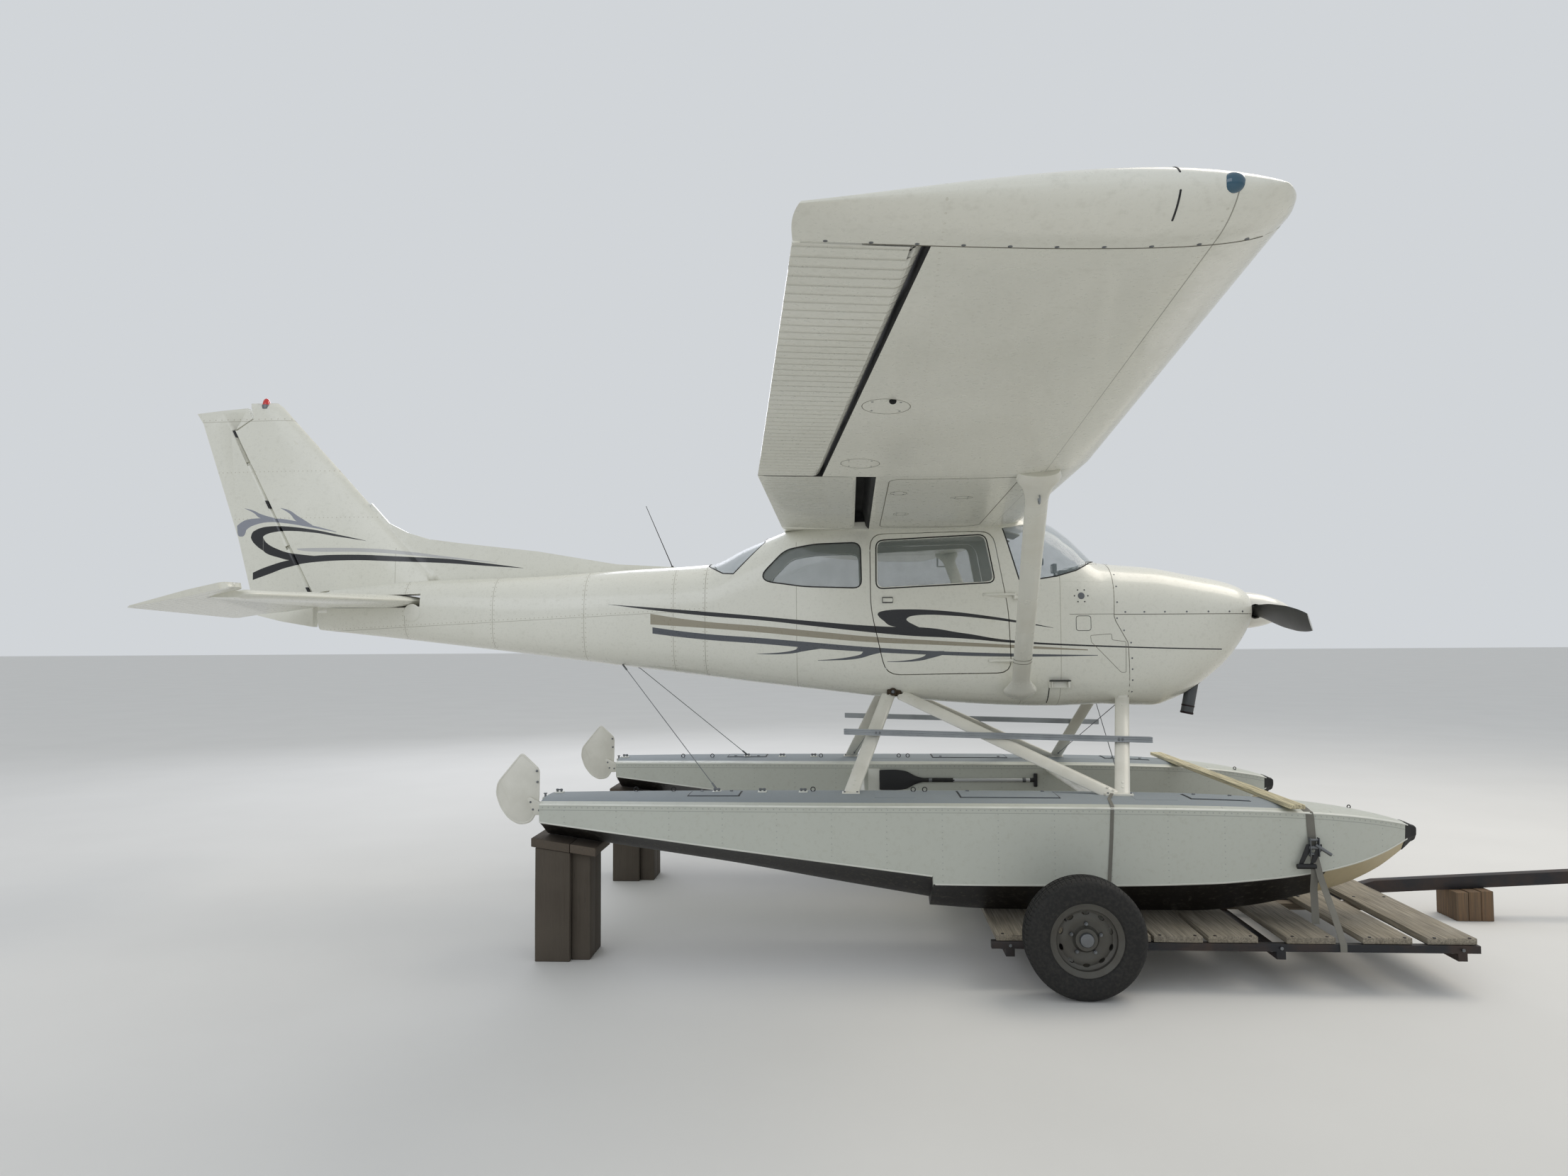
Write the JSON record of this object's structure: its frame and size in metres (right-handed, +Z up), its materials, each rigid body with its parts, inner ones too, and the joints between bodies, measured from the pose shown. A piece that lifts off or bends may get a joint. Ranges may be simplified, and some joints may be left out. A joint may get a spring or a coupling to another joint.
{
  "type": "light aircraft on floats with dolly",
  "caption": "High-wing four-seat light aircraft on twin floats, parked on its low plank dolly trailer, with working doors, controls, propeller and wheels.",
  "frame": {"origin": "centre of the bounding box in plan, on the ground that the dolly's wheels and the timber blocks stand on", "axes": "+X to the nose and the dolly's drawbar, +Y to port, +Z up"},
  "size_m": [11.108, 10.9688, 3.824],
  "materials": {
    "cream_paint": "gloss",
    "white_paint": "gloss",
    "float_paint": "satin",
    "black_paint": "satin",
    "clear_acrylic": "gloss",
    "bare_alloy": "satin",
    "frame_steel": "matte",
    "rim_steel": "satin",
    "engine_metal": "matte",
    "weathered_wood": "matte",
    "tyre_rubber": "matte",
    "seat_cloth": "matte",
    "panel_plastic": "matte"
  },
  "bodies": {
    "airframe": {"wing_left": "cream_paint", "wing_right": "cream_paint", "cowl_upper": "cream_paint", "cowl_lower": "cream_paint", "engine": "engine_metal", "firewall": "cream_paint", "cabin_floor": "cream_paint", "cabin_side_left": "cream_paint", "cabin_side_right": "cream_paint", "cabin_roof": "cream_paint", "tailcone": "cream_paint", "windshield": "clear_acrylic", "rear_window": "clear_acrylic", "side_window_left": "clear_acrylic", "side_window_right": "clear_acrylic", "instrument_panel": "panel_plastic", "seat_front_left": "seat_cloth", "seat_front_right": "seat_cloth", "seat_rear": "seat_cloth", "wing_strut_left": "cream_paint", "wing_strut_right": "cream_paint", "fin": "cream_paint", "stabiliser": "cream_paint", "float_left": "float_paint", "float_right": "float_paint", "float_truss_left": "white_paint", "float_truss_right": "white_paint", "spreader_front": "white_paint", "spreader_rear": "white_paint", "boarding_rail_left": "bare_alloy", "boarding_rail_right": "bare_alloy", "paddle": "panel_plastic", "dolly_deck": "weathered_wood", "dolly_frame": "frame_steel", "stern_block_left": "weathered_wood", "stern_block_right": "weathered_wood", "tongue_block": "weathered_wood", "crossboard": "white_paint"},
    "flap_left": {"flap_left": "cream_paint"},
    "flap_right": {"flap_right": "cream_paint"},
    "aileron_left": {"aileron_left": "cream_paint"},
    "aileron_right": {"aileron_right": "cream_paint"},
    "rudder": {"rudder": "cream_paint"},
    "elevator": {"elevator": "cream_paint"},
    "propeller": {"propeller": "black_paint", "spinner": "white_paint"},
    "door_left": {"door_left": "cream_paint", "door_window_left": "clear_acrylic"},
    "door_right": {"door_right": "cream_paint", "door_window_right": "clear_acrylic"},
    "water_rudder_left": {"water_rudder_left": "float_paint"},
    "water_rudder_right": {"water_rudder_right": "float_paint"},
    "dolly_wheel_left": {"dolly_rim_left": "rim_steel", "dolly_tyre_left": "tyre_rubber"},
    "dolly_wheel_right": {"dolly_rim_right": "rim_steel", "dolly_tyre_right": "tyre_rubber"}
  },
  "joints": [
    {"name": "propeller_spin", "type": "hinge", "parent": "airframe", "child": "propeller", "pos_m": [2.343, 0, 2.171], "axis": [1, 0, 0], "continuous": true},
    {"name": "door_left_swing", "type": "hinge", "parent": "airframe", "child": "door_left", "pos_m": [0.584, 0.556, 2], "axis": [0, 0, -1], "range_deg": [0, 70]},
    {"name": "door_right_swing", "type": "hinge", "parent": "airframe", "child": "door_right", "pos_m": [0.584, -0.556, 2], "axis": [0, 0, 1], "range_deg": [0, 70]},
    {"name": "flap_left_lower", "type": "hinge", "parent": "airframe", "child": "flap_left", "pos_m": [-0.526, 0.55235, 2.64505], "axis": [0, -0.9995, -0.0302], "range_deg": [0, 30]},
    {"name": "flap_right_lower", "type": "hinge", "parent": "airframe", "child": "flap_right", "pos_m": [-0.526, -0.55235, 2.64505], "axis": [0, -0.9995, 0.0302], "range_deg": [0, 30]},
    {"name": "aileron_left_turn", "type": "hinge", "parent": "airframe", "child": "aileron_left", "pos_m": [-0.551, 3.91769, 2.9164], "axis": [-0.1203, -0.9913, -0.0527], "range_deg": [-20, 20]},
    {"name": "aileron_right_turn", "type": "hinge", "parent": "airframe", "child": "aileron_right", "pos_m": [-0.551, -3.91769, 2.9164], "axis": [0.1203, -0.9913, 0.0527], "range_deg": [-20, 20]},
    {"name": "elevator_turn", "type": "hinge", "parent": "airframe", "child": "elevator", "pos_m": [-4.506, 0, 2.285], "axis": [0, 1, 0], "range_deg": [-10, 38]},
    {"name": "rudder_turn", "type": "hinge", "parent": "airframe", "child": "rudder", "pos_m": [-4.646, 0, 2.354], "axis": [-0.4455, 0, 0.8953], "range_deg": [-20, 20]},
    {"name": "water_rudder_left_steer", "type": "hinge", "parent": "airframe", "child": "water_rudder_left", "pos_m": [-2.498, 1.093, 0.9], "axis": [0, 0, 1], "range_deg": [-25, 25]},
    {"name": "water_rudder_right_steer", "type": "hinge", "parent": "airframe", "child": "water_rudder_right", "pos_m": [-2.498, -1.093, 0.9], "axis": [0, 0, 1], "range_deg": [-25, 25]},
    {"name": "dolly_wheel_left_spin", "type": "hinge", "parent": "airframe", "child": "dolly_wheel_left", "pos_m": [0.737, 1.822, 0.332], "axis": [0, 1, 0], "continuous": true},
    {"name": "dolly_wheel_right_spin", "type": "hinge", "parent": "airframe", "child": "dolly_wheel_right", "pos_m": [0.737, -1.822, 0.332], "axis": [0, 1, 0], "continuous": true}
  ],
  "couplings": [
    {"joint": "flap_right_lower", "follows": "flap_left_lower", "ratio": 1},
    {"joint": "aileron_right_turn", "follows": "aileron_left_turn", "ratio": -1},
    {"joint": "water_rudder_right_steer", "follows": "water_rudder_left_steer", "ratio": 1}
  ]
}
